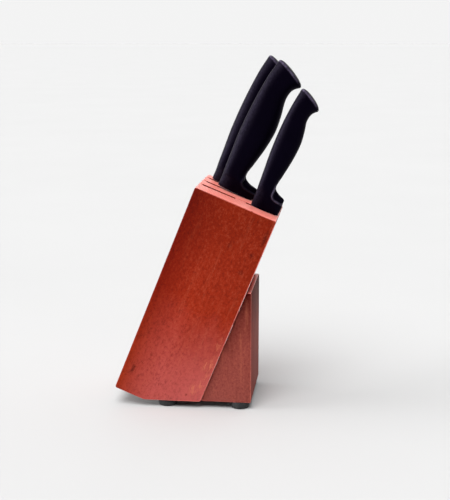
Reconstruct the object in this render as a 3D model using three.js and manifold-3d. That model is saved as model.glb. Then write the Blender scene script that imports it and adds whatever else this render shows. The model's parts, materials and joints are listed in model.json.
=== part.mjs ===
// A leaning wooden knife block with three moulded-handle knives in its slots.
// The block is laminated: four boards stand side by side, and thin spacer strips
// between them leave the slots open. A wedge glued under the leaning side holds the
// block up, pinned by four dowels, and four rubber feet are screwed on underneath.
// Units are millimetres, +Z is up, +X is the way the block leans, and the slots'
// flat sides face -Y and +Y. The origin is the middle of the whole set, on the floor.

import * as THREE from "three";
import { mergeVertices } from "three/addons/utils/BufferGeometryUtils.js";
import Module from "manifold-3d";

const wasm = await Module();
wasm.setup();

// ---- Driving dimensions -------------------------------------------------------

const GLUE_GAP = 0.3;          // left between pieces that touch
const LEAN = THREE.MathUtils.degToRad(22);

const block = {
  width: 83,                   // across the leaning face
  length: 216,                 // from the square lower end to the top face
  squareEnd: 31,               // width of the lower end before the flat base begins
  depth: 90,                   // through all four boards
  rows: 3,                     // rows of slots
  firstRow: 27.5,              // from the near side to the middle of the front row
  rowPitch: 22.5,
  strip: 4.6,                  // thickness of the spacer strips
  stripDrop: 0.2,              // from the top face down to the strips' ends
  corner: 2,
  stripCorner: 0.6,
};

const wedge = { base: 49, height: 110, recess: 3, corner: 1.5 };
const dowel = { radius: 4, length: 34, heights: [38, 72] };
const foot = {
  radius: 9, height: 7, sink: GLUE_GAP,
  inset: 11,                   // from the block's near and far sides to a foot's middle
  fromKnee: 22,                // from where the flat base begins to the left feet
  fromEnd: 11,                 // from the wedge's right face to the right feet
  seat: 1.8,                   // rubber above the screw's head
  rim: 1.4,                    // size of the rounded lower edge
};
const screw = {
  headRadius: 3.2, headHeight: 1.6, headFlat: 2.4, headRim: 0.4,
  shankRadius: 1.4, shankLength: 14, point: 3,
};

// Spacer strips in each row, as spans across the block's width.
const STRIPS = [
  [[0, 3.8], [37.7, 49], [79, 83]],
  [[0, 4.6], [68, 83]],
  [[0, 4.0], [68, 83]],
];

// The moulded handle as ribs from the guard to the butt, drawn for the small knife:
// spine across and along, belly across and along, and half the thickness.
const HANDLE_RIBS = [
  [0.0, 0.0, 27.9, 0.3, 5.2],
  [0.0, 7.0, 28.6, 7.2, 6.2],
  [0.0, 12.5, 28.2, 12.6, 7.0],
  [-0.1, 16.0, 27.6, 16.6, 7.5],
  [-0.3, 20.0, 20.6, 19.8, 7.9],
  [-0.6, 25.0, 16.2, 25.0, 8.2],
  [-1.2, 38.0, 18.2, 38.0, 8.7],
  [-2.0, 54.0, 20.8, 54.0, 9.1],
  [-2.1, 70.0, 22.1, 70.0, 9.3],
  [-1.7, 83.0, 21.0, 82.5, 9.1],
  [-0.9, 93.5, 19.1, 92.5, 8.7],
  [0.2, 104.0, 19.6, 98.8, 8.6],
  [1.4, 112.0, 21.5, 102.8, 8.7],
  [2.7, 119.6, 24.8, 106.0, 8.4],
];
const HANDLE_DOME = 3.8;       // how far the butt bulges
const HANDLE_SQUARENESS = 0.8; // power of the rib's oval: 1 is an ellipse, less is boxier

// On the large knives the guard and the grip's swell sit this much nearer the block, on the
// ribs' scale, and the difference fades out over this stretch below the butt.
const guardDrop = { most: 7.4, fadeFrom: 70, fadeTo: 106 };

// across: the handle's spine from the block's left edge. lean: how far the knife tips over
// in its slot, in degrees. scale: handle size [across, along, thickness] against the ribs.
const knives = [
  {
    name: "utility_knife", row: 0, across: 53.7, lean: 0, drop: 0, scale: [1, 1, 0.94],
    blade: { length: 140, heel: 22, inset: 1.6, tipDrop: 0.35, curve: 0.5 },
  },
  {
    name: "chef_knife", row: 1, across: 15.8, lean: 2.6, drop: guardDrop.most,
    scale: [1.334, 1.118, 1.08],
    blade: { length: 203, heel: 44, inset: 2.4, tipDrop: 0.3, curve: 0.72 },
  },
  {
    name: "slicing_knife", row: 2, across: 6.65, lean: 1.6, drop: guardDrop.most,
    scale: [1.187, 1.116, 1.06],
    blade: { length: 203, heel: 31, inset: 3.0, tipDrop: 0.4, curve: 0.45 },
  },
];
const blade = {
  thickness: 2.0, edgeThickness: 0.5,
  spineRun: 0.8, spineBend: 0.93,      // shares of the length where the spine bends to the tip
  edgeRun: 0.6, edgeBend: 0.82,        // and where the cutting edge does
};
const tang = { width: 11, thickness: 1.6, length: 62, fromSpine: 4.5 };
const guardGap = 0.4;          // between a handle's guard and the block's top face

const color = {
  side: 0x97301f, inner: 0x7c2418, wedge: 0x6f2418, beech: 0xb98a5a,
  rubber: 0x15151a, zinc: 0x9a9ca0, plastic: 0x0c0b12, steel: 0xc4c7cb,
};

// ---- Derived places -------------------------------------------------------------

const slotGap = block.strip + 2 * GLUE_GAP;
const baseDrop = block.squareEnd * Math.sin(LEAN);       // square end's left corner above the base
const kneeX = block.squareEnd * Math.cos(LEAN);
const heelAlong = (block.width - block.squareEnd) * Math.tan(LEAN);
const heelX = block.width * Math.cos(LEAN) + heelAlong * Math.sin(LEAN);
const woodBottom = foot.height;

// The middle of row i's slots, counted from the near side.
function rowY(i) {
  return block.firstRow + block.rowPitch * i - block.depth / 2;
}

// ---- Helpers ----------------------------------------------------------------------

const group = new THREE.Group();

function material(tone, roughness, metalness = 0) {
  return new THREE.MeshStandardMaterial({ color: tone, roughness, metalness });
}

function addMesh(parent, name, geometry, look) {
  const mesh = new THREE.Mesh(geometry, look);
  mesh.name = name;
  parent.add(mesh);
  return mesh;
}

// A closed outline of points, its corners rounded by arcs of the given radius.
function roundedShape(points, radius) {
  const shape = new THREE.Shape();
  points.forEach((point, i) => {
    const before = points[(i + points.length - 1) % points.length];
    const after = points[(i + 1) % points.length];
    const start = point.clone().lerp(before, radius / point.distanceTo(before));
    const end = point.clone().lerp(after, radius / point.distanceTo(after));
    if (i === 0) {
      shape.moveTo(start.x, start.y);
    } else {
      shape.lineTo(start.x, start.y);
    }
    shape.quadraticCurveTo(point.x, point.y, end.x, end.y);
  });
  shape.closePath();
  return shape;
}

// An outline drawn in the X-Z plane, given thickness from near to far along Y.
function extrudeAlongY(shape, near, far, curveSegments = 4) {
  const geometry = new THREE.ExtrudeGeometry(shape, {
    depth: far - near, bevelEnabled: false, curveSegments,
  });
  geometry.rotateX(Math.PI / 2);
  geometry.translate(0, far, 0);
  return geometry;
}

// A closed skin over ribs, each a ring of the same number of points.
function loft(rings) {
  const around = rings[0].length;
  const positions = [];
  const faces = [];
  rings.forEach((ring) => ring.forEach((p) => positions.push(p.x, p.y, p.z)));
  for (let i = 0; i + 1 < rings.length; i += 1) {
    for (let j = 0; j < around; j += 1) {
      const a = i * around + j;
      const b = i * around + (j + 1) % around;
      faces.push(a, b, b + around, a, b + around, a + around);
    }
  }
  const closeEnd = (ring, start, flip) => {
    const middle = new THREE.Vector3();
    ring.forEach((p) => middle.add(p));
    middle.divideScalar(around);
    const hub = positions.length / 3;
    positions.push(middle.x, middle.y, middle.z);
    for (let j = 0; j < around; j += 1) {
      const a = start + j;
      const b = start + (j + 1) % around;
      faces.push(...(flip ? [hub, b, a] : [hub, a, b]));
    }
  };
  closeEnd(rings[0], 0, true);
  closeEnd(rings[rings.length - 1], (rings.length - 1) * around, false);
  const geometry = new THREE.BufferGeometry();
  geometry.setAttribute("position", new THREE.Float32BufferAttribute(positions, 3));
  geometry.setIndex(faces);
  return geometry;
}

function toSolid(geometry) {
  const bare = geometry.clone();
  bare.deleteAttribute("normal");
  bare.deleteAttribute("uv");
  const merged = mergeVertices(bare, 1e-4);
  return new wasm.Manifold(new wasm.Mesh({
    numProp: 3,
    vertProperties: Float32Array.from(merged.attributes.position.array),
    triVerts: Uint32Array.from(merged.index.array),
  }));
}

function toGeometry(solid) {
  const mesh = solid.getMesh();
  const geometry = new THREE.BufferGeometry();
  geometry.setAttribute("position", new THREE.BufferAttribute(mesh.vertProperties, 3));
  geometry.setIndex(new THREE.BufferAttribute(mesh.triVerts, 1));
  return geometry;
}

function cut(geometry, ...tools) {
  const solid = tools.reduce((body, tool) => body.subtract(toSolid(tool)), toSolid(geometry));
  return toGeometry(solid);
}

// ---- The block: boards and spacer strips ----------------------------------------------

// Height along the block at which the flat base cuts it, at a given place across.
function baseAlong(across) {
  return Math.max(0, (across - block.squareEnd) * Math.tan(LEAN));
}

// A slice of the block from one place across to another, down to the base.
function blockOutline(left, right, top, radius) {
  const points = [new THREE.Vector2(left, baseAlong(left))];
  if (left < block.squareEnd && right > block.squareEnd) {
    points.push(new THREE.Vector2(block.squareEnd, 0));
  }
  points.push(new THREE.Vector2(right, baseAlong(right)));
  points.push(new THREE.Vector2(right, top));
  points.push(new THREE.Vector2(left, top));
  return roundedShape(points, radius);
}

// Everything in this group is drawn as if the block stood upright, then leans with it.
const leaning = new THREE.Group();
leaning.rotation.y = LEAN;
leaning.position.set(0, 0, woodBottom + baseDrop);
group.add(leaning);

function addBoards() {
  const slots = [...Array(block.rows).keys()].map(rowY);
  const nears = [-block.depth / 2, ...slots.map((y) => y + slotGap / 2)];
  const fars = [...slots.map((y) => y - slotGap / 2), block.depth / 2];
  const names = ["board_front", "board_middle_front", "board_middle_back", "board_back"];
  names.forEach((name, i) => {
    const outline = blockOutline(0, block.width, block.length, block.corner);
    const body = extrudeAlongY(outline, nears[i], fars[i]);
    addMesh(leaning, name, body, material(color.side, 0.55));
  });
}

function addStrips() {
  const places = [["left", "middle", "right"], ["left", "right"], ["left", "right"]];
  const rowNames = ["front", "centre", "back"];
  STRIPS.forEach((row, i) => row.forEach(([left, right], j) => {
    const outline = blockOutline(left, right, block.length - block.stripDrop, block.stripCorner);
    const half = block.strip / 2;
    const body = extrudeAlongY(outline, rowY(i) - half, rowY(i) + half, 2);
    addMesh(leaning, `spacer_${rowNames[i]}_${places[i][j]}`, body, material(color.inner, 0.65));
  }));
}

// ---- The wedge and its dowels -------------------------------------------------------

// The leaning face of the block, at a height above the flat base.
function leaningFaceX(height) {
  return heelX + height * Math.tan(LEAN);
}

// A dowel driven square to the leaning face, from inside the boards into the wedge.
function dowelGeometry(height, y, grow, length) {
  const geometry = new THREE.CylinderGeometry(dowel.radius + grow, dowel.radius + grow, length, 24);
  geometry.rotateZ(Math.PI / 2);
  geometry.rotateY(LEAN);
  geometry.translate(leaningFaceX(height), y, woodBottom + height);
  return geometry;
}

function addWedge() {
  const start = GLUE_GAP / Math.cos(LEAN);
  const right = heelX + start + wedge.base;
  const points = [
    new THREE.Vector2(heelX + start, 0),
    new THREE.Vector2(right, 0),
    new THREE.Vector2(right, wedge.height),
    new THREE.Vector2(leaningFaceX(wedge.height) + start, wedge.height),
  ];
  const half = block.depth / 2 - wedge.recess;
  const body = extrudeAlongY(roundedShape(points, wedge.corner), -half, half);
  body.translate(0, 0, woodBottom);
  addMesh(group, "support_wedge", body, material(color.wedge, 0.6));
}

// ---- Feet and their screws ------------------------------------------------------------

function lathe(profile, segments) {
  const geometry = new THREE.LatheGeometry(profile.map(([r, z]) => new THREE.Vector2(r, z)), segments);
  geometry.rotateX(Math.PI / 2);
  return geometry;
}

// A round rubber foot with a recess from below that takes the screw's head.
function footGeometry() {
  const well = screw.headRadius + GLUE_GAP;
  const hole = screw.shankRadius + GLUE_GAP;
  const seat = foot.height - foot.seat;
  const top = foot.height - foot.sink;
  return lathe([
    [well, 0], [foot.radius - foot.rim, 0],
    [foot.radius - 0.3 * foot.rim, 0.3 * foot.rim], [foot.radius, foot.rim],
    [foot.radius, top], [hole, top], [hole, seat], [well, seat], [well, 0],
  ], 40);
}

function screwGeometry() {
  const seat = foot.height - foot.seat - GLUE_GAP;
  const tip = foot.height + screw.shankLength;
  return lathe([
    [0, seat - screw.headHeight], [screw.headFlat, seat - screw.headHeight],
    [screw.headRadius, seat - screw.headRim], [screw.headRadius, seat],
    [screw.shankRadius, seat], [screw.shankRadius, tip - screw.point], [0, tip],
  ], 24);
}

function footPlaces() {
  const left = kneeX + foot.fromKnee;
  const right = heelX + wedge.base - foot.fromEnd;
  const reach = block.depth / 2 - foot.inset;
  return [
    ["front_left", left, -reach], ["front_right", right, -reach],
    ["back_left", left, reach], ["back_right", right, reach],
  ];
}

// Each screw's pilot hole in the wood above its foot.
function pilotHole(x, y) {
  const hole = new THREE.CylinderGeometry(
    screw.shankRadius + GLUE_GAP, screw.shankRadius + GLUE_GAP, screw.shankLength + 2, 20);
  hole.rotateX(Math.PI / 2);
  hole.translate(x, y, woodBottom + (screw.shankLength + 2) / 2 - 1);
  return hole;
}

function addFeet() {
  footPlaces().forEach(([name, x, y]) => {
    const rubber = addMesh(group, `foot_${name}`, footGeometry(), material(color.rubber, 0.85));
    rubber.position.set(x, y, 0);
    const steel = addMesh(group, `foot_screw_${name}`, screwGeometry(), material(color.zinc, 0.35, 1));
    steel.position.set(x, y, 0);
  });
}

// Drills the dowel and screw holes through whichever wooden pieces they enter.
function drillWood() {
  group.updateMatrixWorld(true);
  const wood = [];
  group.traverse((node) => {
    if (/^(board|support)/.test(node.name)) {
      wood.push(node);
    }
  });
  const tools = footPlaces().map(([, x, y]) => pilotHole(x, y));
  dowelPlaces().forEach(([, height, y]) => {
    tools.push(dowelGeometry(height, y, GLUE_GAP, dowel.length + 2 * GLUE_GAP));
  });
  wood.forEach((node) => {
    const toNode = node.matrixWorld.clone().invert();
    node.geometry = cut(node.geometry, ...tools.map((tool) => tool.clone().applyMatrix4(toNode)));
  });
}

// Dowels enter the two middle boards, at the middle of each board's thickness.
function dowelPlaces() {
  const [lower, upper] = dowel.heights;
  const front = (rowY(0) + rowY(1)) / 2;
  const back = (rowY(1) + rowY(2)) / 2;
  return [
    ["dowel_lower_front", lower, front], ["dowel_upper_front", upper, front],
    ["dowel_lower_back", lower, back], ["dowel_upper_back", upper, back],
  ];
}

function addDowels() {
  dowelPlaces().forEach(([name, height, y]) => {
    addMesh(group, name, dowelGeometry(height, y, 0, dowel.length), material(color.beech, 0.7));
  });
}

// ---- Knives ---------------------------------------------------------------------------

// Lowers the guard and the grip's swell, and leaves the base and the butt where they are.
function lowered(along, drop) {
  const fade = 1 - THREE.MathUtils.smoothstep(along, guardDrop.fadeFrom, guardDrop.fadeTo);
  return along - drop * Math.min(1, along / 20) * fade;
}

// The handle's ribs made smooth: a curve through each of their five measures.
function smoothRibs(scale, drop, count) {
  const track = (a, b) => new THREE.SplineCurve(
    HANDLE_RIBS.map((rib) => new THREE.Vector2(rib[a] * scale[0], lowered(rib[b], drop) * scale[1])));
  const spine = track(0, 1);
  const belly = track(2, 3);
  const thick = new THREE.SplineCurve(
    HANDLE_RIBS.map((rib, i) => new THREE.Vector2(i, rib[4] * scale[2])));
  return [...Array(count + 1).keys()].map((i) => {
    const t = i / count;
    return { spine: spine.getPoint(t), belly: belly.getPoint(t), half: thick.getPoint(t).y };
  });
}

// One ring round a rib: a rounded oval from the spine to the belly.
function ribRing(rib, around, shrink, push) {
  const middle = rib.spine.clone().add(rib.belly).multiplyScalar(0.5);
  const reach = rib.belly.clone().sub(rib.spine).multiplyScalar(0.5 * shrink);
  const out = new THREE.Vector2(-reach.y, reach.x).normalize().multiplyScalar(push);
  return [...Array(around).keys()].map((j) => {
    const angle = (2 * Math.PI * j) / around;
    const c = Math.cos(angle);
    const s = Math.sin(angle);
    const across = Math.sign(c) * Math.abs(c) ** HANDLE_SQUARENESS;
    const thick = Math.sign(s) * Math.abs(s) ** HANDLE_SQUARENESS;
    return new THREE.Vector3(
      middle.x + reach.x * across + out.x,
      rib.half * thick * shrink,
      middle.y + reach.y * across + out.y,
    );
  });
}

function handleGeometry(scale, drop) {
  const around = 24;
  const ribs = smoothRibs(scale, drop, 36);
  const rings = ribs.map((rib) => ribRing(rib, around, 1, 0));
  const last = ribs[ribs.length - 1];
  [0.35, 0.7, 0.95].forEach((t) => {
    rings.push(ribRing(last, around, Math.sqrt(1 - t * t), HANDLE_DOME * t));
  });
  return loft(rings);
}

function box(width, depth, height, x, z) {
  const geometry = new THREE.BoxGeometry(width, depth, height);
  geometry.translate(x, 0, z);
  return geometry;
}

// The blade and its hidden tang as one flat outline, spine on the left.
function bladeShape({ length, heel, tipDrop, curve }, tangLeft) {
  const shape = new THREE.Shape();
  shape.moveTo(0, 0);
  shape.lineTo(tangLeft, 0);
  shape.lineTo(tangLeft, tang.length);
  shape.lineTo(tangLeft + tang.width, tang.length);
  shape.lineTo(tangLeft + tang.width, 0);
  shape.lineTo(heel, 0);
  shape.lineTo(heel, -length * (1 - curve) * blade.edgeRun);
  shape.quadraticCurveTo(heel, -length * blade.edgeBend, heel * tipDrop, -length);
  shape.quadraticCurveTo(0, -length * blade.spineBend, 0, -length * blade.spineRun);
  shape.closePath();
  return shape;
}

// Blade thickness falls evenly from the spine to the cutting edge.
function bladeGeometry(spec, tangLeft) {
  const half = blade.thickness / 2;
  const geometry = extrudeAlongY(bladeShape(spec, tangLeft), -half, half, 12);
  const position = geometry.attributes.position;
  for (let i = 0; i < position.count; i += 1) {
    const ground = position.getZ(i) < -1 ? Math.min(1, position.getX(i) / spec.heel) : 0;
    const here = THREE.MathUtils.lerp(blade.thickness, blade.edgeThickness, ground) / 2;
    const inTang = position.getZ(i) > 1 ? tang.thickness / 2 : here;
    position.setY(i, Math.sign(position.getY(i)) * inTang);
  }
  return geometry;
}

function addKnives() {
  knives.forEach((knife) => {
    const holder = new THREE.Group();
    const lean = THREE.MathUtils.degToRad(knife.lean);
    const guardWidth = HANDLE_RIBS[0][2] * knife.scale[0];
    const rest = block.length + guardGap + guardWidth * Math.sin(lean);
    holder.position.set(knife.across, rowY(knife.row), rest);
    holder.rotation.y = lean;
    leaning.add(holder);

    const tangLeft = tang.fromSpine * knife.scale[0];
    const pocket = box(
      tang.width + 2 * GLUE_GAP, tang.thickness + 2 * GLUE_GAP, 2 * (tang.length + 1),
      tangLeft + tang.width / 2, 0);
    const grip = cut(handleGeometry(knife.scale, knife.drop), pocket);
    addMesh(holder, `${knife.name}_handle`, grip, material(color.plastic, 0.5));

    const steel = bladeGeometry(knife.blade, tangLeft - knife.blade.inset);
    const mesh = addMesh(holder, `${knife.name}_blade`, steel, material(color.steel, 0.28, 1));
    mesh.position.set(knife.blade.inset, 0, -GLUE_GAP);
  });
}

addBoards();
addStrips();
addWedge();
addDowels();
addFeet();
drillWood();
addKnives();

const extent = new THREE.Box3().setFromObject(group, true);
group.position.x = -(extent.min.x + extent.max.x) / 2;

export default group;
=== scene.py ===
"""A red-stained wooden knife block with three black-handled knives, in a pale studio.

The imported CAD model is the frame. Every visible CAD piece is stood for by a finer mesh of the
same size: softened boards with end grain, lofted handles with a finger guard, ground blades,
rubber feet and cross-head screws. Lengths are in metres unless a name says mm.
"""

import json
import math

import bmesh
import bpy
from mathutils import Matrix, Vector


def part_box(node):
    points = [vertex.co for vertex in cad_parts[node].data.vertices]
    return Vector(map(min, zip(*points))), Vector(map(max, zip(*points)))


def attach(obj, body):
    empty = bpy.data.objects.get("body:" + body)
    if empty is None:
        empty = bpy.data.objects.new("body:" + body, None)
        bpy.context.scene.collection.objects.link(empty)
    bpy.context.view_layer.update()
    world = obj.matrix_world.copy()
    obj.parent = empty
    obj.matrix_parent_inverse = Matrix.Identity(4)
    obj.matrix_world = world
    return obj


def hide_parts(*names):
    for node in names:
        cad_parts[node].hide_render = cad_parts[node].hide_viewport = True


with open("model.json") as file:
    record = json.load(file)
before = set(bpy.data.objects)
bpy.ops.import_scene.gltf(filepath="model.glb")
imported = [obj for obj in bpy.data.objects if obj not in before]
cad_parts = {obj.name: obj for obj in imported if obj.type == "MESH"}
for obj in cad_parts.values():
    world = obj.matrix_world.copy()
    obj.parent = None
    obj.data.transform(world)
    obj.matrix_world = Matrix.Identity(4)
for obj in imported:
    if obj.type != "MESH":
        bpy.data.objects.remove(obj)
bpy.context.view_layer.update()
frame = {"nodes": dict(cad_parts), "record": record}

MM = 0.001

# ---- Facts from the frame ------------------------------------------------------------

JOINTS = {joint["name"]: joint for joint in frame["record"]["behaviour"]["joints"]}
SLOT_AXIS = Vector(JOINTS["utility_knife_draw"]["axis"]).normalized()
LEAN = math.atan2(SLOT_AXIS.x, SLOT_AXIS.z)
ACROSS = Vector((math.cos(LEAN), 0, -math.sin(LEAN)))

BOARDS = ["board_front", "board_middle_front", "board_middle_back", "board_back"]
SPACERS = [name for name in frame["nodes"] if name.startswith("spacer_")]
DOWELS = [name for name in frame["nodes"] if name.startswith("dowel_")]
BLOCK_LEFT = min(v.co.dot(ACROSS) for v in frame["nodes"]["board_front"].data.vertices)
BLOCK_FOOT = min(v.co.dot(SLOT_AXIS) for v in frame["nodes"]["board_front"].data.vertices)
CORNERS = ["front_left", "front_right", "back_left", "back_right"]
KNIVES = ["utility_knife", "chef_knife", "slicing_knife"]


# ---- Camera ---------------------------------------------------------------------------

CAMERA_AT = Vector((0.1289, -0.9954, 0.3620))
CAMERA_AIM = Vector((0.0066, 0.0, 0.1499))
CAMERA_LENS = 74.6


def make_camera():
    data = bpy.data.cameras.new("camera")
    data.lens = CAMERA_LENS
    data.clip_start = 0.02
    data.clip_end = 30
    camera = bpy.data.objects.new("camera", data)
    camera.location = CAMERA_AT
    camera.rotation_mode = "QUATERNION"
    camera.rotation_quaternion = (CAMERA_AIM - CAMERA_AT).to_track_quat("-Z", "Y")
    bpy.context.scene.collection.objects.link(camera)
    bpy.context.scene.camera = camera


# ---- Node helpers -----------------------------------------------------------------------


class Nodes:
    """A material's node tree, with short calls for the nodes that the looks use."""

    # A colour Mix node repeats its socket names, so they are taken by place: the factor, the
    # two colours, and the colour that comes out.
    MIX_INPUTS = (0, 6, 7)
    MIX_RESULT = 2

    def __init__(self, name):
        self.material = bpy.data.materials.new(name)
        self.material.use_nodes = True
        self.tree = self.material.node_tree
        self.shader = self.tree.nodes["Principled BSDF"]
        self.place = self.add("ShaderNodeTexCoord").outputs["Object"]

    def add(self, kind, **settings):
        node = self.tree.nodes.new(kind)
        for key, value in settings.items():
            setattr(node, key, value)
        return node

    def link(self, source, target):
        self.tree.links.new(source, target)

    def set(self, **values):
        for key, value in values.items():
            self.shader.inputs[key.replace("_", " ")].default_value = value

    def paint(self, color):
        self.link(color, self.shader.inputs["Base Color"])

    def rough(self, source, low, high):
        """Roughness that follows a noise, whose values lie mostly between 0.3 and 0.7."""
        self.link(self.level(source, 0.3, 0.7, low, high), self.shader.inputs["Roughness"])

    def mapped(self, scale=(1, 1, 1), turn=(0, 0, 0), shift=(0, 0, 0), source=None):
        node = self.add("ShaderNodeMapping")
        node.inputs["Scale"].default_value = scale
        node.inputs["Rotation"].default_value = turn
        node.inputs["Location"].default_value = shift
        self.link(source or self.place, node.inputs["Vector"])
        return node.outputs["Vector"]

    def noise(self, vector, scale, detail=4, roughness=0.55):
        node = self.add("ShaderNodeTexNoise")
        node.inputs["Scale"].default_value = scale
        node.inputs["Detail"].default_value = detail
        node.inputs["Roughness"].default_value = roughness
        self.link(vector, node.inputs["Vector"])
        return node.outputs["Fac"]

    def ramp(self, source, *stops):
        node = self.add("ShaderNodeValToRGB")
        elements = node.color_ramp.elements
        while len(elements) < len(stops):
            elements.new(0.5)
        for element, (place, color) in zip(elements, stops):
            element.position = place
            element.color = (*color, 1)
        self.link(source, node.inputs["Fac"])
        return node.outputs["Color"]

    def level(self, source, low, high, out_low=0.0, out_high=1.0):
        node = self.add("ShaderNodeMapRange")
        node.inputs["From Min"].default_value = low
        node.inputs["From Max"].default_value = high
        node.inputs["To Min"].default_value = out_low
        node.inputs["To Max"].default_value = out_high
        self.link(source, node.inputs["Value"])
        return node.outputs["Result"]

    def math(self, operation, a, b):
        node = self.add("ShaderNodeMath", operation=operation)
        for socket, value in zip(node.inputs, (a, b)):
            if isinstance(value, (int, float)):
                socket.default_value = value
            else:
                self.link(value, socket)
        return node.outputs["Value"]

    def mix(self, factor, a, b, blend="MIX"):
        node = self.add("ShaderNodeMix", data_type="RGBA", blend_type=blend)
        sockets = [node.inputs[place] for place in self.MIX_INPUTS]
        for socket, value in zip(sockets, (factor, a, b)):
            if isinstance(value, (int, float)):
                socket.default_value = value
            elif isinstance(value, tuple):
                socket.default_value = (*value, 1)
            else:
                self.link(value, socket)
        return node.outputs[self.MIX_RESULT]

    def split(self, vector):
        return self.add_linked("ShaderNodeSeparateXYZ", "Vector", vector).outputs

    def add_linked(self, kind, socket, source, **settings):
        node = self.add(kind, **settings)
        self.link(source, node.inputs[socket])
        return node

    def spot(self, flat, across, along, width, length):
        """1 at a place on the leaning face, falling to 0 at an oval round it."""
        node = self.add_linked("ShaderNodeMapping", "Vector", flat)
        node.inputs["Location"].default_value = (-across / width, 0, -along / length)
        node.inputs["Scale"].default_value = (1 / width, 0, 1 / length)
        size = self.add_linked("ShaderNodeVectorMath", "Vector", node.outputs["Vector"],
                               operation="LENGTH")
        return self.level(size.outputs["Value"], 1.0, SPOT_CORE)

    def bump(self, *layers):
        normal = None
        for height, distance in layers:
            node = self.add("ShaderNodeBump")
            node.inputs["Strength"].default_value = 1.0
            node.inputs["Distance"].default_value = distance
            self.link(height, node.inputs["Height"])
            if normal:
                self.link(normal, node.inputs["Normal"])
            normal = node.outputs["Normal"]
        self.link(normal, self.shader.inputs["Normal"])

    def edge(self):
        return self.add("ShaderNodeAttribute", attribute_name="edge").outputs["Fac"]


# ---- Wood -----------------------------------------------------------------------------

# Stain from the top of a piece to its foot, and the length it is spread over. The stain is real;
# its darkening towards the top is painted shade and its paler, hazier foot is painted light bounced
# from the floor. The wedge's very dark top is painted shade under the leaning block.
STAIN_AND_PAINTED_LIGHT = {"top": (0.214, 0.0130, 0.0020), "middle": (0.310, 0.0225, 0.0060),
         "foot": (0.465, 0.0780, 0.0670), "length": 0.216}
WEDGE_STAIN_AND_PAINTED_LIGHT = {"top": (0.066, 0.0025, 0.0010), "middle": (0.246, 0.0490, 0.0370),
               "foot": (0.262, 0.0580, 0.0460), "length": 0.110}
# Painted shade that darkens the leaning face towards its left edge.
PAINTED_LEFT_SHADE = (0.52, 0.22, 0.02)
# Painted reflection of the pale floor, laid low on the right of the leaning face.
PAINTED_FLOOR_SHEEN = (0.580, 0.1250, 0.1180)
# Rubbed edges, lightened further as a painted highlight where the rounded edges catch the light.
RUBBED_AND_HIGHLIT = (0.82, 0.22, 0.18)
SCUFFED = (0.66, 0.19, 0.10)
SMUDGED = (0.075, 0.0065, 0.0030)
# Near-black underside, painted shade for the gap under the block.
NEAR_BLACK_BASE = (0.024, 0.0036, 0.0032)

# Marks on the leaning face: across and along it, half width and half length, all in mm.
SCUFFS = [(73.5, 57.5, 3.0, 8.0), (79.5, 60.0, 4.0, 16.0), (77.5, 41.0, 4.0, 12.0),
          (78.5, 82.0, 3.0, 10.0), (72.0, 30.0, 5.0, 7.0)]
SMUDGES = [(74.2, 176.0, 3.2, 4.2), (70.4, 157.0, 3.6, 3.4), (51.0, 177.0, 3.0, 3.0),
           (67.7, 22.2, 1.6, 1.9), (79.0, 196.0, 3.0, 10.0), (10.0, 25.0, 2.5, 7.0)]
SPOT_CORE = 0.35

# Where painted shade, the painted floor sheen, and edge wear with its painted highlight start and end
# on the
# leaning face, in mm: across it from its left edge, and along it from its foot.
PAINTED_SHADE_REACH = (0, 36)
PAINTED_SHEEN_REACH = {"across": (40, 83), "along": (100, 20)}
RUB_AND_HIGHLIGHT_REACH = (5, 70)
MOST_RUB_AND_HIGHLIGHT = 0.92


def from_left(reach):
    """Places across the leaning face, from distances in mm from its left edge."""
    return [BLOCK_LEFT + distance * MM for distance in reach]


def stain_and_painted_light_by_length(n, along, start, stain, cloud):
    """Stain colour by the distance up the piece, with a wavering border: painted shade darkens the
    top and painted floor bounce lightens the foot.
    """
    waver = n.level(cloud, 0.3, 0.7, -0.016, 0.016)
    fade = n.level(n.math("ADD", along, waver), start + stain["length"], start)
    return n.ramp(fade, (0.05, stain["top"]), (0.48, stain["middle"]), (0.93, stain["foot"]))


def speckled(n, color, speck, pores, streak, streaks):
    """Fine light and dark flecks and pores over a stain."""
    color = n.mix(n.level(speck, 0.50, 0.30, 0.0, 0.50), color, SMUDGED)
    color = n.mix(n.level(speck, 0.52, 0.72, 0.0, 0.16), color, SCUFFED)
    color = n.mix(n.level(streak, 0.46, 0.28, 0.0, 0.55 * streaks), color, SMUDGED)
    color = n.mix(n.level(streak, 0.55, 0.75, 0.0, 0.45 * streaks), color, SCUFFED)
    return n.mix(n.level(pores, 0.62, 0.74, 0.0, 0.45), color, SMUDGED)


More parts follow.
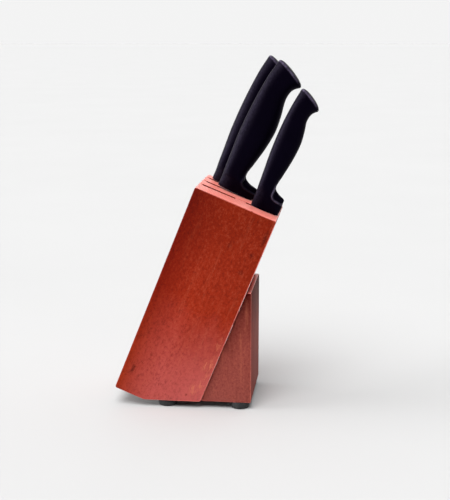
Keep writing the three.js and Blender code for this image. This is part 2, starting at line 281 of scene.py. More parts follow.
def long_grain(name, stain, lean, start, streaks, marks_and_painted_light_on=False):
    """Stained wood seen along the grain, with painted shade and light along its length, rubbed edges
    that also carry a painted highlight, and the marks of use.
    """
    n = Nodes(name)
    local = n.mapped(turn=(0, -lean, 0))
    grain = n.mapped(scale=(1, 1, 0.07), shift=(start * 7, start * 3, 0), source=local)
    streak = n.noise(grain, 230, detail=5, roughness=0.65)
    pores = n.noise(n.mapped(scale=(1, 1, 0.22), source=local), 1500, detail=2)
    speck = n.noise(n.mapped(scale=(1, 1, 0.7), source=local), 500, detail=3, roughness=0.8)
    cloud = n.noise(n.mapped(scale=(1, 1, 0.5), source=local), 30, detail=4)
    flat = n.split(local)
    color = stain_and_painted_light_by_length(n, flat["Z"], start, stain, cloud)
    color = speckled(n, color, speck, pores, streak, streaks)
    # Edge wear, and a painted highlight along the rounded edges, strongest towards the right.
    rub_and_highlight = n.math("MULTIPLY", n.edge(), n.level(n.noise(n.place, 300, detail=4), 0.25, 0.45))
    if marks_and_painted_light_on:
        color = marks_and_painted_light(n, color, local, flat["X"], speck)
        rub_and_highlight = n.math("MULTIPLY", rub_and_highlight, n.level(flat["X"], *from_left(RUB_AND_HIGHLIGHT_REACH), 0.1, 1.0))
    color = n.mix(n.math("MULTIPLY", rub_and_highlight, MOST_RUB_AND_HIGHLIGHT), color, RUBBED_AND_HIGHLIT)
    n.paint(color)
    n.rough(speck, 0.55, 0.72)
    n.bump((streak, 0.00010 * streaks), (pores, 0.00010), (speck, 0.00006))
    n.set(Specular_IOR_Level=0.06)
    return n.material


def marks_and_painted_light(n, color, local, across, speck):
    """Painted shade along the left edge, a painted sheen of floor light low on the right, dark
    smudges, and scuffs rubbed through to orange.
    """
    face = n.mapped(shift=(-BLOCK_LEFT, 0, -BLOCK_FOOT), source=local)
    painted_shade = n.level(across, *from_left(PAINTED_SHADE_REACH), 1.0, 0.0)
    color = n.mix(painted_shade, color, PAINTED_LEFT_SHADE, "MULTIPLY")
    sheen_starts, sheen_ends = PAINTED_SHEEN_REACH["along"]
    painted_sheen = n.math("MULTIPLY", n.level(across, *from_left(PAINTED_SHEEN_REACH["across"]), 0.0, 0.5),
                  n.level(n.split(face)["Z"], sheen_starts * MM, sheen_ends * MM))
    color = n.mix(painted_sheen, color, PAINTED_FLOOR_SHEEN)
    for place in SMUDGES:
        spot = n.spot(face, *[measure * MM for measure in place])
        color = n.mix(n.math("MULTIPLY", spot, n.level(speck, 0.62, 0.42, 0.15, 0.75)),
                      color, SMUDGED)
    scratch = n.noise(n.mapped(scale=(1, 1, 0.25), source=local), 900, detail=3, roughness=0.7)
    for place in SCUFFS:
        spot = n.spot(face, *[measure * MM for measure in place])
        color = n.mix(n.math("MULTIPLY", spot, n.level(scratch, 0.47, 0.62, 0.0, 0.65)),
                      color, SCUFFED)
    return color


def end_grain(name, lean, seed):
    """The sawn top: paler and pinker, with bent growth rings and open pores."""
    n = Nodes(name)
    local = n.mapped(turn=(0, -lean, 0), shift=(seed * 0.021, seed * 0.013, 0))
    rings = n.add("ShaderNodeTexWave", wave_type="RINGS", rings_direction="Z")
    rings.inputs["Scale"].default_value = 95
    rings.inputs["Distortion"].default_value = 3.5
    rings.inputs["Detail"].default_value = 3
    n.link(local, rings.inputs["Vector"])
    pores = n.noise(n.mapped(scale=(1, 1, 0.02), source=local), 1900, detail=2)
    cloud = n.noise(n.place, 60, detail=4)
    tone = n.math("ADD", n.math("MULTIPLY", rings.outputs["Fac"], 0.30),
                  n.math("MULTIPLY", cloud, 0.70))
    color = n.ramp(tone, (0.30, (0.94, 0.215, 0.165)), (0.52, (0.98, 0.285, 0.235)),
                   (0.75, (0.99, 0.370, 0.310)))
    color = n.mix(n.level(pores, 0.62, 0.72, 0.0, 0.35), color, (0.40, 0.060, 0.045))
    n.paint(color)
    n.rough(cloud, 0.34, 0.48)
    n.bump((rings.outputs["Fac"], 0.00004), (pores, 0.00006))
    n.set(Specular_IOR_Level=0.5)
    return n.material


def near_black_base(name):
    """The underside, almost black, which keeps the gap under the block dark as painted shade."""
    n = Nodes(name)
    fibre = n.noise(n.place, 900, detail=4, roughness=0.7)
    n.paint(n.mix(n.level(fibre, 0.35, 0.65), NEAR_BLACK_BASE, SMUDGED))
    n.bump((fibre, 0.0002))
    n.set(Roughness=0.9, Specular_IOR_Level=0.05)
    return n.material


def beech(name):
    n = Nodes(name)
    grain = n.mapped(scale=(0.08, 1, 1), source=n.mapped(turn=(0, LEAN, 0)))
    streak = n.noise(grain, 220, detail=5)
    color = n.ramp(streak, (0.35, (0.42, 0.24, 0.12)), (0.65, (0.62, 0.42, 0.25)))
    n.paint(color)
    n.bump((streak, 0.0001))
    n.set(Roughness=0.7)
    return n.material


# ---- Plastic, steel and rubber -----------------------------------------------------------


# Painted highlight: a lighter grey laid where light catches the butt's rim, the spine and the guard's
# bead.
PAINTED_HIGHLIGHT_GREY = (0.085, 0.070, 0.110)


def moulded_plastic(name):
    """Near-black plastic with a fine spark-eroded texture, and painted highlights where the stored
    edge values are set.
    """
    n = Nodes(name)
    fine = n.noise(n.place, 2600, detail=3, roughness=0.6)
    broad = n.noise(n.place, 55, detail=3)
    color = n.ramp(broad, (0.30, (0.0004, 0.0001, 0.0014)), (0.70, (0.0008, 0.0003, 0.0024)))
    # Painted highlight, by the stored edge values, broken up by a noise.
    rub_and_highlight = n.math("MULTIPLY", n.edge(), n.level(n.noise(n.place, 420, detail=3), 0.2, 0.6))
    color = n.mix(rub_and_highlight, color, PAINTED_HIGHLIGHT_GREY)
    n.paint(color)
    n.rough(fine, 0.34, 0.56)
    n.bump((fine, 0.00008), (broad, 0.00005))
    n.set(Specular_IOR_Level=0.05, Specular_Tint=(0.56, 0.40, 1.0, 1.0))
    return n.material


def ground_steel(name, turn):
    """Stainless steel with grinding lines across the blade."""
    n = Nodes(name)
    lines = n.noise(n.mapped(scale=(0.012, 0, 1), source=n.mapped(turn=turn)), 1900, detail=2)
    smear = n.noise(n.place, 24, detail=1)
    color = n.ramp(lines, (0.3, (0.40, 0.41, 0.43)), (0.7, (0.52, 0.53, 0.55)))
    n.paint(color)
    n.rough(smear, 0.24, 0.36)
    n.bump((lines, 0.000006))
    n.set(Metallic=1.0)
    return n.material


def zinc(name):
    n = Nodes(name)
    patch = n.noise(n.place, 900, detail=4)
    color = n.ramp(patch, (0.3, (0.40, 0.40, 0.41)), (0.7, (0.60, 0.60, 0.59)))
    n.paint(color)
    n.rough(patch, 0.28, 0.46)
    n.bump((patch, 0.00003))
    n.set(Metallic=1.0)
    return n.material


def rubber(name):
    n = Nodes(name)
    fine = n.noise(n.place, 1700, detail=4, roughness=0.7)
    dust = n.level(n.noise(n.place, 240, detail=4), 0.5, 0.8)
    color = n.mix(n.math("MULTIPLY", dust, 0.5), (0.012, 0.012, 0.014), (0.05, 0.048, 0.046))
    n.paint(color)
    n.rough(fine, 0.62, 0.82)
    n.bump((fine, 0.0001))
    return n.material


# ---- Mesh helpers --------------------------------------------------------------------------

# A CAD solid's points closer than this are one point, its faces within the flat angle are one
# face, and its edges past the sharp angle are rounded over.
MERGE_DISTANCE = 1e-6
FLAT_ANGLE = math.radians(1)
SHARP_ANGLE = math.radians(40)


def smooth_object(work, name, materials):
    """Turns a bmesh into a smooth-shaded object in the scene."""
    mesh = bpy.data.meshes.new(name)
    work.normal_update()
    work.to_mesh(mesh)
    work.free()
    for material in materials:
        mesh.materials.append(material)
    for polygon in mesh.polygons:
        polygon.use_smooth = True
    result = bpy.data.objects.new(name, mesh)
    bpy.context.scene.collection.objects.link(result)
    return result


def finished(work, name, body, node, materials):
    """Turns a bmesh into a piece that rides on a body and stands for a CAD node."""
    piece = smooth_object(work, name, materials)
    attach(piece, body)
    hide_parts(node)
    return piece


def sharpen(piece, degrees=35):
    """Keeps edges sharper than an angle crisp under smooth shading."""
    mesh = piece.data
    work = bmesh.new()
    work.from_mesh(mesh)
    for edge in work.edges:
        if len(edge.link_faces) == 2:
            edge.smooth = edge.calc_face_angle() < math.radians(degrees)
    work.to_mesh(mesh)
    work.free()


def softened(node, width, segments=3):
    """A copy of a CAD solid with its flat faces rejoined and its edges rounded over."""
    work = bmesh.new()
    work.from_mesh(frame["nodes"][node].data)
    bmesh.ops.remove_doubles(work, verts=work.verts, dist=MERGE_DISTANCE)
    bmesh.ops.dissolve_limit(work, angle_limit=FLAT_ANGLE, verts=work.verts,
                             edges=work.edges)
    sharp = [e for e in work.edges
             if len(e.link_faces) == 2 and e.calc_face_angle() > SHARP_ANGLE]
    result = bmesh.ops.bevel(work, geom=sharp, offset=width, segments=segments, profile=0.5,
                             affect="EDGES", clamp_overlap=True)
    mark_edges(work, result["faces"])
    return work


def mark_edges(work, faces):
    """Stores where the rounded edges are, so a material can rub them and paint their highlight."""
    layer = work.loops.layers.float_color.new("edge")
    for face in work.faces:
        for loop in face.loops:
            loop[layer] = (0, 0, 0, 1)
    for face in faces:
        for loop in face.loops:
            loop[layer] = (1, 1, 1, 1)


def assign_looks(work, top, least=0.75):
    """Gives faces that look towards the top the second material, and undersides the third."""
    work.normal_update()
    for face in work.faces:
        if face.normal.dot(top) > least:
            face.material_index = 1
        elif face.normal.z < -least:
            face.material_index = 2


# ---- Block pieces -----------------------------------------------------------------------------

# How far edges are rounded over, and how much of each glue line a spacer strip fills.
EDGE = {"board": 1.7 * MM, "spacer": 0.25 * MM, "wedge": 1.2 * MM, "dowel": 0.6 * MM,
        "foot": 0.3 * MM}
GLUE = 0.24 * MM


def make_boards():
    base = near_black_base("board_base")
    for i, node in enumerate(BOARDS):
        work = softened(node, EDGE["board"])
        assign_looks(work, SLOT_AXIS)
        looks = [long_grain(f"{node}_stain", STAIN_AND_PAINTED_LIGHT, LEAN, BLOCK_FOOT, 0.3, marks_and_painted_light_on=True),
                 end_grain(f"{node}_end", LEAN, i + 1), base]
        sharpen(finished(work, f"{node}_wood", "block", node, looks))


def fill_glue_lines(work, node):
    """Thickens a strip to near the boards beside it, as its glue would."""
    low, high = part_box(node)
    middle = (low.y + high.y) / 2
    grow = 1 + 2 * GLUE / (high.y - low.y)
    for vert in work.verts:
        vert.co.y = middle + (vert.co.y - middle) * grow


def make_spacers():
    looks = [long_grain("spacer_stain_and_light", STAIN_AND_PAINTED_LIGHT, LEAN, BLOCK_FOOT, 0.5, marks_and_painted_light_on=True),
             end_grain("spacer_end", LEAN, 9), near_black_base("spacer_base")]
    for node in SPACERS:
        work = softened(node, EDGE["spacer"], 2)
        fill_glue_lines(work, node)
        assign_looks(work, SLOT_AXIS)
        sharpen(finished(work, f"{node}_wood", "block", node, looks))


def make_wedge():
    work = softened("support_wedge", EDGE["wedge"])
    assign_looks(work, Vector((0, 0, 1)))
    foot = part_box("support_wedge")[0].z
    looks = [long_grain("wedge_stain_and_light", WEDGE_STAIN_AND_PAINTED_LIGHT, 0, foot, 0.45),
             end_grain("wedge_end", 0, 14), near_black_base("wedge_base")]
    sharpen(finished(work, "wedge_wood_body", "block", "support_wedge", looks))


def make_dowels():
    look = beech("dowel_beech")
    for node in DOWELS:
        work = softened(node, EDGE["dowel"], 2)
        sharpen(finished(work, f"{node}_peg", "block", node, [look]))


# ---- Handles ----------------------------------------------------------------------------------

# Ribs from the guard to the butt of the small knife, in millimetres: spine across and along,
# belly across and along, and half the thickness.
HANDLE_RIBS = [
    (0.0, 0.0, 27.9, 0.3, 5.2),
    (0.0, 7.0, 28.6, 7.2, 6.2),
    (0.0, 12.5, 28.2, 12.6, 7.0),
    (-0.1, 16.0, 27.6, 16.6, 7.5),
    (-0.3, 20.0, 20.6, 19.8, 7.9),
    (-0.6, 25.0, 16.2, 25.0, 8.2),
    (-1.2, 38.0, 18.2, 38.0, 8.7),
    (-2.0, 54.0, 20.8, 54.0, 9.1),
    (-2.1, 70.0, 22.1, 70.0, 9.3),
    (-1.7, 83.0, 21.0, 82.5, 9.1),
    (-0.9, 93.5, 19.1, 92.5, 8.7),
    (0.2, 104.0, 19.6, 98.8, 8.6),
    (1.4, 112.0, 21.5, 102.8, 8.7),
    (2.7, 119.6, 24.8, 106.0, 8.4),
]
# Below 1, a rib's oval section is squarer.
RIB_SQUARENESS = 0.8

# The butt bows out by the dome, from a share of the handle's length on, and its rim is rounded
# over and closed in steps.
HANDLE_DOME = 3.8
BUTT_RIM = 1.3
BUTT_BOWS_FROM = 0.86
RIM_STEPS = 8
CAP_STEPS = 10

# Painted highlight on the butt's rim, by the share of the handle's length and then of the rim's turn,
# and on the spine. Each side is counted from 0 at the belly to 1 at the spine.
RIM_HIGHLIGHT = {"starts": 0.978, "full": 0.993, "fades_from": 0.3, "side": (0.05, 0.45)}
SPINE_HIGHLIGHT = {"most": 0.13, "side": (0.60, 0.95)}

# How far a large knife's guard and swell sit lower than the small one's, in mm, and between
# which places along the handle that comes in and fades out.
GUARD_DROP = {"most": 7.4, "full_from": 20, "fade_from": 70, "fade_to": 106}
HANDLES = {
    "utility_knife": {"scale": (1.0, 1.0, 0.94), "drop": 0},
    "chef_knife": {"scale": (1.334, 1.118, 1.08), "drop": GUARD_DROP["most"]},
    "slicing_knife": {"scale": (1.187, 1.116, 1.06), "drop": GUARD_DROP["most"]},
}


def spline(values, t):
    """A smooth curve through evenly spaced values, at t from 0 to 1."""
    place = t * (len(values) - 1)
    i = min(int(place), len(values) - 2)
    s = place - i
    p0, p1 = values[max(i - 1, 0)], values[i]
    p2, p3 = values[i + 1], values[min(i + 2, len(values) - 1)]
    m1, m2 = (p2 - p0) / 2, (p3 - p1) / 2
    return ((2 * s ** 3 - 3 * s ** 2 + 1) * p1 + (s ** 3 - 2 * s ** 2 + s) * m1
            + (3 * s ** 2 - 2 * s ** 3) * p2 + (s ** 3 - s ** 2) * m2)


def smooth_step(value, low, high):
    t = min(1.0, max(0.0, (value - low) / (high - low)))
    return t * t * (3 - 2 * t)


def lowered(along, drop):
    """Lowers the guard and the grip's swell, and leaves the base and the butt as they are."""
    fade = 1 - smooth_step(along, GUARD_DROP["fade_from"], GUARD_DROP["fade_to"])
    return along - drop * min(1, along / GUARD_DROP["full_from"]) * fade


def rib_at(t, scale, drop):
    ribs = [(a, lowered(b, drop), c, lowered(d, drop), e) for a, b, c, d, e in HANDLE_RIBS]
    across_a, along_a, across_b, along_b, half = (
        spline([rib[k] for rib in ribs], t) for k in range(5))
    spine = Vector((across_a * scale[0], along_a * scale[1]))
    belly = Vector((across_b * scale[0], along_b * scale[1]))
    return spine, belly, half * scale[2]


def rib_ring(spine, belly, half, around, bulge=0.0, inset=0.0, rise=0.0, close=0.0):
    """Points round a rib, as (across, thickness, along) in millimetres.

    bulge bows the ring outwards like the butt, inset and rise round its rim over, and close
    draws its two sides together.
    """
    middle = (spine + belly) / 2
    reach = (belly - spine) / 2
    out = Vector((-reach.y, reach.x)).normalized()
    reach *= 1 - inset / reach.length
    half = (half - inset) * (1 - close)
    ring = []
    for j in range(around):
        angle = 2 * math.pi * j / around
        c, s = math.cos(angle), math.sin(angle)
        c = math.copysign(abs(c) ** RIB_SQUARENESS, c)
        s = math.copysign(abs(s) ** RIB_SQUARENESS, s)
        bow = bulge * (HANDLE_DOME - BUTT_RIM) * math.sqrt(1 - c * c)
        at = middle + reach * c + out * (rise + bow)
        ring.append(Vector((at.x, half * s, at.y)))
    return ring


def handle_rings(scale, drop, around=176, ribs=300):
    """Rings from the guard to the middle of the butt, and how much painted highlight each ring's rim
    gets.
    """
    rings, rim_highlights = [], []
    for i in range(ribs + 1):
        bulge = smooth_step(i / ribs, BUTT_BOWS_FROM, 1)
        rings.append(rib_ring(*rib_at(i / ribs, scale, drop), around, bulge))
        rim_highlights.append(smooth_step(i / ribs, RIM_HIGHLIGHT["starts"], RIM_HIGHLIGHT["full"]))
    end = rib_at(1, scale, drop)
    for step in range(1, RIM_STEPS + 1):
        turn = step / RIM_STEPS * math.pi / 2
        rings.append(rib_ring(*end, around, 1, BUTT_RIM * (1 - math.cos(turn)),
                              BUTT_RIM * math.sin(turn)))
        rim_highlights.append(1 - smooth_step(step / RIM_STEPS, RIM_HIGHLIGHT["fades_from"], 1))
    for step in range(1, CAP_STEPS):
        rings.append(rib_ring(*end, around, 1, BUTT_RIM, BUTT_RIM, step / CAP_STEPS))
        rim_highlights.append(0)
    return rings, rim_highlights


# The finger guard's thin plate: where it begins across and along, how far it follows a large
# knife's drop, how much thinner it is and over what border, and where it fades out.
PLATE = {"across": 16.0, "along": 14.0, "drop_share": 0.75, "slope": 0.20, "corner": 4.0,
         "thinner": 0.45, "border": 0.7, "top": 30.0, "fade": 6}

# The bead round the plate: how high and wide it is, how far outside the plate it peaks, how far
# from the handle's middle plane it is full, and how much painted highlight it gets on a small and a
# large knife.
# Both are on the ribs' scale, in mm.
BEAD = {"height": 0.9, "width": 0.75, "outside": 0.4, "full_from": 3, "painted_highlight": 1,
        "large_painted_highlight": 0.12}


def thin_guard(point, scale, drop):
    """Thins the finger guard to a plate with a beaded border, above a full base.

    Returns how much of the bead lies under the point, for its painted highlight.
    """
    across = point.x / scale[0] - PLATE["across"]
    along = (point.z / scale[1] + drop * PLATE["drop_share"] - PLATE["along"]
             + PLATE["slope"] * across)
    corner = PLATE["corner"]
    inward = Vector((min(0, across - corner), min(0, along - corner)))
    depth = corner - inward.length
    plate = smooth_step(depth, 0, PLATE["border"])
    fade = 1 - smooth_step(along + PLATE["along"], PLATE["top"] - PLATE["fade"], PLATE["top"])
    bead = math.exp(-((depth + BEAD["outside"]) / BEAD["width"]) ** 2) * fade
    point.y *= 1 - PLATE["thinner"] * plate * fade
    raised = BEAD["height"] * bead * min(1, abs(point.y) / BEAD["full_from"])
    point.y += math.copysign(raised, point.y)
    return bead * (BEAD["large_painted_highlight"] if drop else BEAD["painted_highlight"])


def oriented(ring, joint_name):
    """Points given as (across, thickness, along) in millimetres, turned to a knife's axis."""
    along = Vector(JOINTS[joint_name]["axis"]).normalized()
    across = Vector((along.z, 0, -along.x))
    return [(across * p.x + Vector((0, p.y, 0)) + along * p.z) * MM for p in ring]


def lofted(rings, low, high, painted_highlight=None):
    """A closed skin over rings of points, scaled slightly to fill a box.

    One number per point for a painted highlight is stored for the material to lighten the surface
    with.
    """
    work = bmesh.new()
    points = fitted([p for ring in rings for p in ring], low, high)
    verts = [work.verts.new(p) for p in points]
    around = len(rings[0])
    for i in range(len(rings) - 1):
        for j in range(around):
            a, b = i * around + j, i * around + (j + 1) % around
            work.faces.new((verts[a], verts[b], verts[b + around], verts[a + around]))
    work.faces.new(list(reversed(verts[:around])))
    work.faces.new(verts[-around:])
    work.verts.index_update()
    layer = work.loops.layers.float_color.new("edge")
    for face in work.faces:
        for loop in face.loops:
            highlighted = painted_highlight[loop.vert.index] if painted_highlight else 0
            loop[layer] = (highlighted, highlighted, highlighted, 1)
    return work


def fitted(points, low, high):
    """Moves and slightly scales points so that their bounds are a given box."""
    axes = []
    for axis in range(3):
        values = [p[axis] for p in points]
        start, size = min(values), max(values) - min(values)
        grow = (high[axis] - low[axis]) / size
        axes.append([low[axis] + (value - start) * grow for value in values])
    return [Vector(place) for place in zip(*axes)]


def make_handle(knife, look):
    node = f"{knife}_handle"
    scale, drop = HANDLES[knife]["scale"], HANDLES[knife]["drop"]
    rings, rim_highlights = handle_rings(scale, drop)
    painted_highlight = []
    for ring, rim in zip(rings, rim_highlights):
        for j, point in enumerate(ring):
            spine_side = 0.5 - 0.5 * math.cos(2 * math.pi * j / len(ring))
            # Painted highlight on the guard's bead, the butt's rim and the spine.
            painted_highlight.append(max(thin_guard(point, scale, drop),
                            rim * smooth_step(spine_side, *RIM_HIGHLIGHT["side"]),
                            SPINE_HIGHLIGHT["most"] * smooth_step(spine_side, *SPINE_HIGHLIGHT["side"])))
    work = lofted([oriented(ring, f"{knife}_draw") for ring in rings], *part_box(node), painted_highlight)
    sharpen(finished(work, f"{knife}_grip", knife, node, [look]), degrees=50)


def make_handles():
    look = moulded_plastic("handle_plastic_black")
    for knife in KNIVES:
        make_handle(knife, look)


# ---- Blades ---------------------------------------------------------------------------------------

# Millimetres. tip: how far across the tip lies, curve: how early the edge starts to bend,
# both as shares. inset: from the handle's spine to the blade's.
BLADES = {
    "utility_knife": {"length": 140, "heel": 22, "inset": 1.6, "tip": 0.35, "curve": 0.5},
    "chef_knife": {"length": 203, "heel": 44, "inset": 2.4, "tip": 0.3, "curve": 0.72},
    "slicing_knife": {"length": 203, "heel": 31, "inset": 3.0, "tip": 0.4, "curve": 0.45},
}
STEEL = {"spine": 2.0, "edge": 0.5, "spine_run": 0.8, "spine_bend": 0.93, "edge_run": 0.6,
         "edge_bend": 0.82, "bevel": 1.4, "bevel_share": 0.3, "cutting": 0.08,
         "tip_taper": 0.35, "least_width": 0.02, "spine_round": 0.5, "spine_flat": 0.45}

# Above 1, a blade's rings crowd towards its tip, and their points towards its edge.
BLADE_RINGS = 120
TIP_CROWDING = 1.5
EDGE_CROWDING = 1.6
TANG = {"width": 11, "thickness": 1.6, "length": 62, "from_spine": 4.5}


def bend(start, control, end, along):
    """Where a quadratic curve of (across, along) points lies across, at a place along."""
    low, high = 0.0, 1.0
    for _ in range(40):
        t = (low + high) / 2
        here = (1 - t) ** 2 * start[1] + 2 * t * (1 - t) * control[1] + t * t * end[1]
        low, high = (t, high) if here > along else (low, t)
    return (1 - t) ** 2 * start[0] + 2 * t * (1 - t) * control[0] + t * t * end[0]


def blade_span(spec, along):
    """The spine and the cutting edge of a blade, across, at a place along it."""
    length, heel = spec["length"], spec["heel"]
    tip = (heel * spec["tip"], -length)
    spine_start = (0, -length * STEEL["spine_run"])
    edge_start = (heel, -length * (1 - spec["curve"]) * STEEL["edge_run"])
    spine, edge = 0, heel
    if along < spine_start[1]:
        spine = bend(spine_start, (0, -length * STEEL["spine_bend"]), tip, along)
    if along < edge_start[1]:
        edge = bend(edge_start, (heel, -length * STEEL["edge_bend"]), tip, along)
    return spine, max(edge, spine + STEEL["least_width"])


def blade_ring(spec, along, steps=22):
    """Points round a blade, flat ground from the spine, with a fine bevel at the edge."""
    spine, edge = blade_span(spec, along)
    slim = 1 - STEEL["tip_taper"] * (along / spec["length"]) ** 2
    bevel = min(STEEL["bevel"], STEEL["bevel_share"] * (edge - spine))
    side = []
    for i in range(steps + 1):
        t = i / steps
        across = spine + (edge - spine) * (1 - (1 - t) ** EDGE_CROWDING)
        ground = STEEL["spine"] + (STEEL["edge"] - STEEL["spine"]) * across / spec["heel"]
        cutting = min(1, (edge - across) / bevel)
        rounded = min(1, STEEL["spine_flat"] + (across - spine) / STEEL["spine_round"])
        half = (STEEL["cutting"] + (ground - STEEL["cutting"]) * cutting) * rounded * slim / 2
        side.append((across, half))
    front = [Vector((across, -half, along)) for across, half in side]
    return front + [Vector((across, half, along)) for across, half in reversed(side)]


def tang_ring(left, along, count):
    """Points round the flat tang, as many as round the blade."""
    half = TANG["thickness"] / 2
    places = [left + TANG["width"] * i / (count // 2 - 1) for i in range(count // 2)]
    front = [Vector((across, -half, along)) for across in places]
    return front + [Vector((across, half, along)) for across in reversed(places)]


def make_blades():
    look = ground_steel("blade_steel_ground", (0, -LEAN, 0))
    for knife, spec in BLADES.items():
        node = f"{knife}_blade"
        stations = [-spec["length"] * (1 - (1 - i / BLADE_RINGS) ** TIP_CROWDING)
                    for i in range(BLADE_RINGS + 1)]
        rings = [blade_ring(spec, along) for along in reversed(stations)]
        left = TANG["from_spine"] * HANDLES[knife]["scale"][0] - spec["inset"]
        rings.extend(tang_ring(left, along, len(rings[0])) for along in (0, TANG["length"]))
        work = lofted([oriented(ring, f"{knife}_draw") for ring in rings], *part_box(node))
        sharpen(finished(work, f"{knife}_steel", knife, node, [look]), degrees=12)


# ---- Feet and screws ------------------------------------------------------------------------------

# Radii and heights of the head, its flat middle and its rounded rim, then the shank, its point
# and thread, and the cross recess. Millimetres, before the screw is scaled to its CAD box.
SCREW = {"head": 3.2, "head_height": 1.6, "flat": 2.4, "rim": 2.9, "rim_height": 0.35,
         "side_height": 1.2, "shank": 1.4, "length": 14.3, "point": 3, "blunt": 0.02,
         "pitch": 1.5, "thread": 0.4, "slot_half": 0.45, "slot_reach": 1.7, "slot_depth": 0.9,
         "slot_edge": (-0.08, 0.12)}


def recess(x, y):
    """Depth of the cross recess in the screw's head."""
    arm = max(min(SCREW["slot_half"] - abs(x), SCREW["slot_reach"] - abs(y)),
              min(SCREW["slot_half"] - abs(y), SCREW["slot_reach"] - abs(x)))
    return SCREW["slot_depth"] * smooth_step(arm, *SCREW["slot_edge"])


def screw_rings(around=64, head_steps=24, shank_steps=120):
    """Rings from the middle of the head, over its rim and up the threaded shank to the point."""
    turns = [(math.cos(2 * math.pi * j / around), math.sin(2 * math.pi * j / around))
             for j in range(around)]
    rings = []
    for i in range(1, head_steps + 1):
        radius = SCREW["flat"] * i / head_steps
        rings.append([Vector((c * radius, s * radius, recess(c * radius, s * radius)))
                      for c, s in turns])
    profile = [("rim", "rim_height"), ("head", "side_height"), ("head", "head_height"),
               ("shank", "head_height")]
    for radius, height in [(SCREW[wide], SCREW[high]) for wide, high in profile]:
        rings.append([Vector((c * radius, s * radius, height)) for c, s in turns])
    top = SCREW["head_height"] + SCREW["length"]
    for i in range(1, shank_steps + 1):
        height = SCREW["head_height"] + SCREW["length"] * i / shank_steps
        taper = min(1, (top - height) / SCREW["point"] + SCREW["blunt"])
        ring = []
        for j, (c, s) in enumerate(turns):
            wave = abs((height / SCREW["pitch"] - j / around) % 1 - 0.5) * 2
            radius = (SCREW["shank"] - SCREW["thread"] * (1 - wave ** 3)) * taper
            ring.append(Vector((c * radius, s * radius, height)))
        rings.append(ring)
    return rings


def make_feet():
    look = rubber("foot_rubber_black")
    steel = zinc("screw_zinc")
    for corner in CORNERS:
        work = softened(f"foot_{corner}", EDGE["foot"], 2)
        sharpen(finished(work, f"foot_{corner}_pad", "block", f"foot_{corner}",
                         [look]))
        node = f"foot_screw_{corner}"
        work = lofted(screw_rings(), *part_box(node))
        sharpen(finished(work, f"{node}_zinc", "block", node, [steel]), degrees=25)


# ---- Studio ----------------------------------------------------------------------------------------


FLOOR_REACH = 40.0
FLOOR_TONE = 0.57
FLOOR_UNEVENNESS = 0.005
FLOOR_RINGS = 24
SWEEP = {"towards": Vector((0.49, -0.87, 0)).normalized(), "starts": 7.0, "ends": 12.0,
         "height": 1.7, "turn": (-0.05, 0.35)}
KEY = {"towards": (0.05, 0.50, -0.86), "strength": 2.8, "spread": 40}

# The room's light by direction: each lobe's middle, the cosines over which it rises, and
# how bright it gets. The far side is the pale backdrop and the left is a soft box.
ROOM_DIM = 0.06
ROOM_LOBES = [
    {"middle": (-0.45, 0.80, 0.40), "rise": (-0.30, 0.62), "strength": 0.84},
    {"middle": (-0.96, -0.14, 0.10), "rise": (0.84, 0.96), "strength": 8.0},
]


def floor_paper():
    n = Nodes("floor_paper")
    tone = n.noise(n.place, 3, detail=2)
    low, high = FLOOR_TONE - FLOOR_UNEVENNESS, FLOOR_TONE + FLOOR_UNEVENNESS
    n.paint(n.ramp(tone, (0.3, (low, low, low)), (0.7, (high, high, high))))
    n.set(Roughness=0.95, Specular_IOR_Level=0.0)
    return n.material


def sweep_height(away, radius):
    """How high the paper stands in a direction, at a distance from the middle."""
    dim = smooth_step(away.dot(SWEEP["towards"]), *SWEEP["turn"])
    return SWEEP["height"] * dim * smooth_step(radius, SWEEP["starts"], SWEEP["ends"])


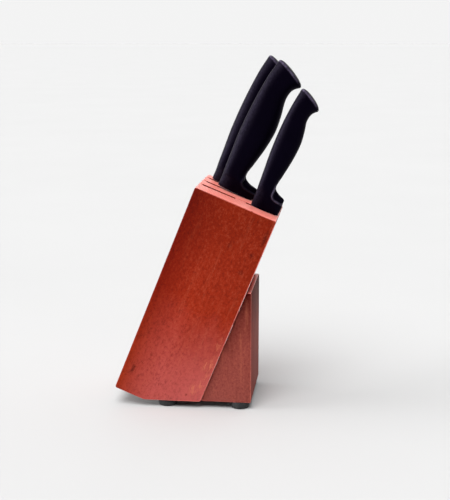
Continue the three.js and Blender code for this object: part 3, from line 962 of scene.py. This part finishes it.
def make_floor():
    """A wide plain floor that sweeps up like studio paper on the dim side of the room."""
    work = bmesh.new()
    bmesh.ops.create_circle(work, cap_ends=True, segments=96, radius=SWEEP["starts"])
    edge = list(work.edges)
    for step in range(1, FLOOR_RINGS + 1):
        result = bmesh.ops.extrude_edge_only(work, edges=edge)["geom"]
        edge = [item for item in result if isinstance(item, bmesh.types.BMEdge)]
        radius = SWEEP["starts"] + (FLOOR_REACH - SWEEP["starts"]) * (step / FLOOR_RINGS) ** 3
        for vert in {vert for item in edge for vert in item.verts}:
            away = vert.co.copy()
            away.z = 0
            away.normalize()
            vert.co = away * radius
            vert.co.z = sweep_height(away, radius)
    bmesh.ops.recalc_face_normals(work, faces=work.faces)
    floor = smooth_object(work, "floor", [floor_paper()])


def make_key():
    """One high soft light in front."""
    data = bpy.data.lights.new("key", "SUN")
    data.energy = KEY["strength"]
    data.angle = math.radians(KEY["spread"])
    light = bpy.data.objects.new("key", data)
    light.rotation_mode = "QUATERNION"
    light.rotation_quaternion = Vector(KEY["towards"]).to_track_quat("-Z", "Y")
    bpy.context.scene.collection.objects.link(light)


def make_room():
    """A pale room that is brighter behind and to the left."""
    world = bpy.data.worlds.new("studio")
    world.use_nodes = True
    tree = world.node_tree
    place = tree.nodes.new("ShaderNodeTexCoord")
    total = None
    for lobe in ROOM_LOBES:
        facing = tree.nodes.new("ShaderNodeVectorMath")
        facing.operation = "DOT_PRODUCT"
        facing.inputs[1].default_value = Vector(lobe["middle"]).normalized()
        tree.links.new(place.outputs["Generated"], facing.inputs[0])
        level = tree.nodes.new("ShaderNodeMapRange")
        level.interpolation_type = "SMOOTHSTEP"
        rise_starts, rise_ends = lobe["rise"]
        level.inputs["From Min"].default_value = rise_starts
        level.inputs["From Max"].default_value = rise_ends
        level.inputs["To Max"].default_value = lobe["strength"]
        tree.links.new(facing.outputs["Value"], level.inputs["Value"])
        brighter = tree.nodes.new("ShaderNodeMath")
        brighter.inputs[1].default_value = ROOM_DIM
        tree.links.new(level.outputs["Result"], brighter.inputs[0])
        if total:
            tree.links.new(total, brighter.inputs[1])
        total = brighter.outputs["Value"]
    tree.links.new(total, tree.nodes["Background"].inputs["Strength"])
    tree.nodes["Background"].inputs["Color"].default_value = (1, 1, 1, 1)
    bpy.context.scene.world = world


def make_lights():
    """The room and the key light, shown without a film look."""
    make_room()
    make_key()
    bpy.context.scene.view_settings.view_transform = "Standard"


make_camera()
make_boards()
make_spacers()
make_wedge()
make_dowels()
make_handles()
make_blades()
make_feet()
make_floor()
make_lights()
